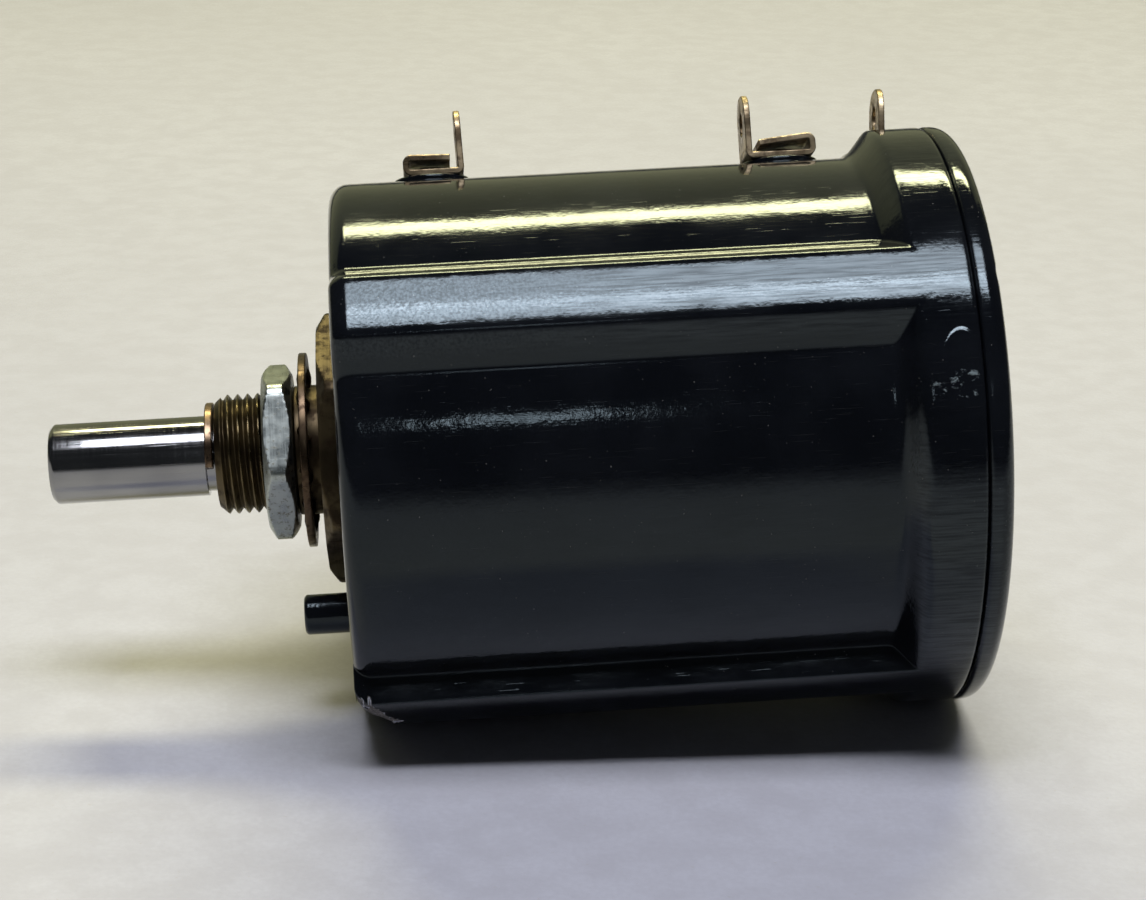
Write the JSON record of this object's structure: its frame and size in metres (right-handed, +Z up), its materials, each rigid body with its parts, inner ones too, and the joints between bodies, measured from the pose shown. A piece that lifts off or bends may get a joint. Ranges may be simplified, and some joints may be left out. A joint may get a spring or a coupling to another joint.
{
  "type": "multi-turn wire-wound potentiometer",
  "caption": "Panel-mounted precision potentiometer with a ribbed black cylindrical case, threaded bushing, long shaft and solder lugs along one side.",
  "frame": {"origin": "where the shaft axis meets the mounting face, the front of the hexagonal flange", "axes": "+X along the shaft from its free end to the rear lid, +Z up as the unit lies on its side, +Y away from the viewer"},
  "size_m": [0.0723, 0.046, 0.0477],
  "materials": {
    "black_phenolic": "moulded, glossy with fine scratches",
    "brown_phenolic": "moulded, satin",
    "fibre": "vulcanised fibre, matt",
    "mandrel": "enamelled copper wire",
    "stainless": "ground and polished",
    "nut_steel": "bright plated, chamfered",
    "steel_screw": "turned, dull",
    "contact_silver": "burnished",
    "winding_wire": "fine resistance wire",
    "bushing_brass": "aged, dull olive",
    "bronze": "aged phosphor bronze",
    "spring_bronze": "spring-temper bronze",
    "tinned_brass": "tinned, tarnished brown at the edges"
  },
  "bodies": {
    "case": {"housing": "black_phenolic", "rear_lid": "black_phenolic", "lid_screws": "steel_screw", "rear_bearing": "bronze", "bushing": "bushing_brass", "front_terminal": "tinned_brass", "rear_terminal": "tinned_brass", "wiper_terminal": "tinned_brass", "terminal_rivets": "bushing_brass", "resistance_winding": "winding_wire", "coil_mandrel": "mandrel", "front_stop": "bronze", "rear_stop": "bronze", "pickup_brush": "spring_bronze"},
    "rotor": {"shaft": "stainless", "retaining_ring": "spring_bronze", "thrust_washer": "fibre", "spacer_washer": "fibre", "guide_rods": "stainless", "contact_bar": "bronze", "front_hub": "brown_phenolic", "rear_hub": "brown_phenolic", "slip_ring": "bronze", "hub_pins": "stainless"},
    "carriage": {"slider_block": "brown_phenolic", "coil_follower": "bronze", "wiper_spring": "spring_bronze", "wiper_contact": "contact_silver", "pickup_spring": "spring_bronze"},
    "washer": {"lock_washer": "bronze"},
    "nut": {"panel_nut": "nut_steel"}
  },
  "joints": [
    {"name": "shaft_turn", "type": "hinge", "parent": "case", "child": "rotor", "pos_m": [0, 0, 0], "axis": [1, 0, 0], "range_deg": [-1644, 1956]},
    {"name": "carriage_travel", "type": "slide", "parent": "rotor", "child": "carriage", "axis": [1, 0, 0], "range_m": [-0.0138, 0.0164]},
    {"name": "washer_slide", "type": "slide", "parent": "case", "child": "washer", "axis": [-1, 0, 0], "range_m": [0, 0.0032]},
    {"name": "nut_turn", "type": "hinge", "parent": "washer", "child": "nut", "pos_m": [-0.0034, 0, 0], "axis": [-1, 0, 0], "range_deg": [0, 1440]}
  ],
  "couplings": [
    {"joint": "carriage_travel", "follows": "shaft_turn", "m_per_rad": 0.00047746},
    {"joint": "washer_slide", "follows": "nut_turn", "m_per_rad": 0.00012633}
  ]
}
